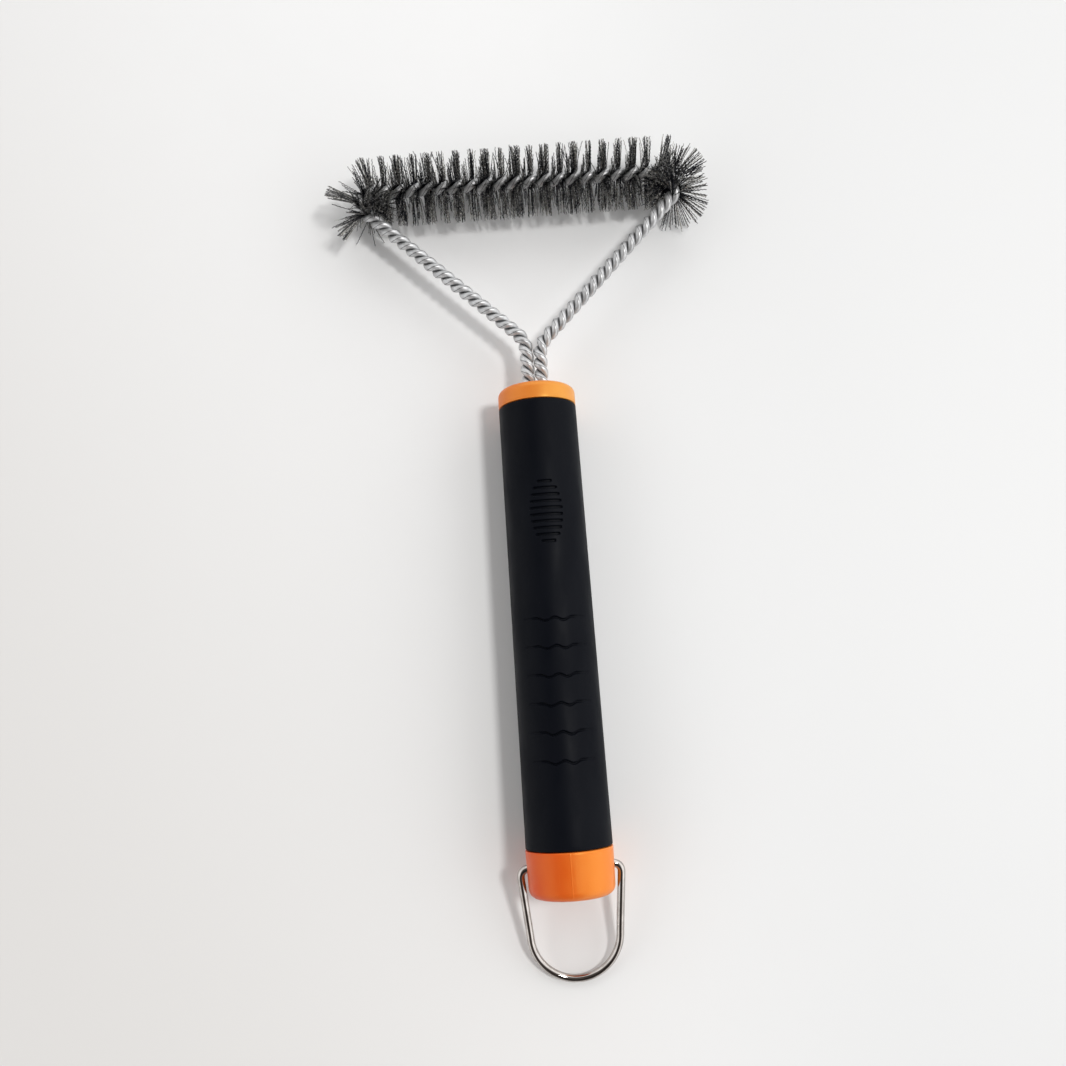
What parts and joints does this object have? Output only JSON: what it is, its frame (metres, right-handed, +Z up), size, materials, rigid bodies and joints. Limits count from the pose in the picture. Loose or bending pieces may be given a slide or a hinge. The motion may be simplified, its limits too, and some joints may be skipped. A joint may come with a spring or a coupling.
{
  "type": "grill cleaning brush",
  "caption": "Grill cleaning brush: triangular twisted-wire head with steel bristles on the bar and corners, round ribbed rubber grip, orange plastic ends and a swinging wire bail.",
  "frame": {"origin": "centre of the end cap's flat end, on the handle's axis", "axes": "+Y along the handle towards the brush head, +X along the bar to the right, +Z up out of the thumb pad side"},
  "size_m": [0.1513, 0.3191, 0.0316],
  "materials": {
    "orange_plastic": "satin gloss, moulded",
    "grip_rubber": "satin, soft moulded",
    "inner_plastic": "plain moulded, hidden",
    "frame_wire": "bright drawn, galvanised",
    "bristle_steel": "dark crimped filament",
    "bail_wire": "polished"
  },
  "bodies": {
    "brush": {"handle_core": "orange_plastic", "end_cap": "orange_plastic", "grip_sleeve": "grip_rubber", "stem_anchor": "inner_plastic", "wire_strand_a": "frame_wire", "wire_strand_b": "frame_wire", "bristle_tuft_01": "bristle_steel", "bristle_tuft_02": "bristle_steel", "bristle_tuft_03": "bristle_steel", "bristle_tuft_04": "bristle_steel", "bristle_tuft_05": "bristle_steel", "bristle_tuft_06": "bristle_steel", "bristle_tuft_07": "bristle_steel", "bristle_tuft_08": "bristle_steel", "bristle_tuft_09": "bristle_steel", "bristle_tuft_10": "bristle_steel", "bristle_tuft_11": "bristle_steel", "bristle_tuft_12": "bristle_steel", "bristle_tuft_13": "bristle_steel", "bristle_tuft_14": "bristle_steel", "bristle_tuft_15": "bristle_steel", "bristle_tuft_16": "bristle_steel", "bristle_tuft_17": "bristle_steel", "bristle_tuft_18": "bristle_steel", "bristle_tuft_19": "bristle_steel", "bristle_tuft_20": "bristle_steel", "bristle_tuft_21": "bristle_steel", "bristle_tuft_22": "bristle_steel", "bristle_tuft_23": "bristle_steel", "bristle_tuft_24": "bristle_steel", "bristle_tuft_25": "bristle_steel"},
    "bail": {"hanging_bail": "bail_wire"}
  },
  "joints": [
    {"name": "bail_swing", "type": "hinge", "parent": "brush", "child": "bail", "pos_m": [0, 0.0101, 0], "axis": [-1, 0, 0], "range_deg": [-138, 176]}
  ]
}
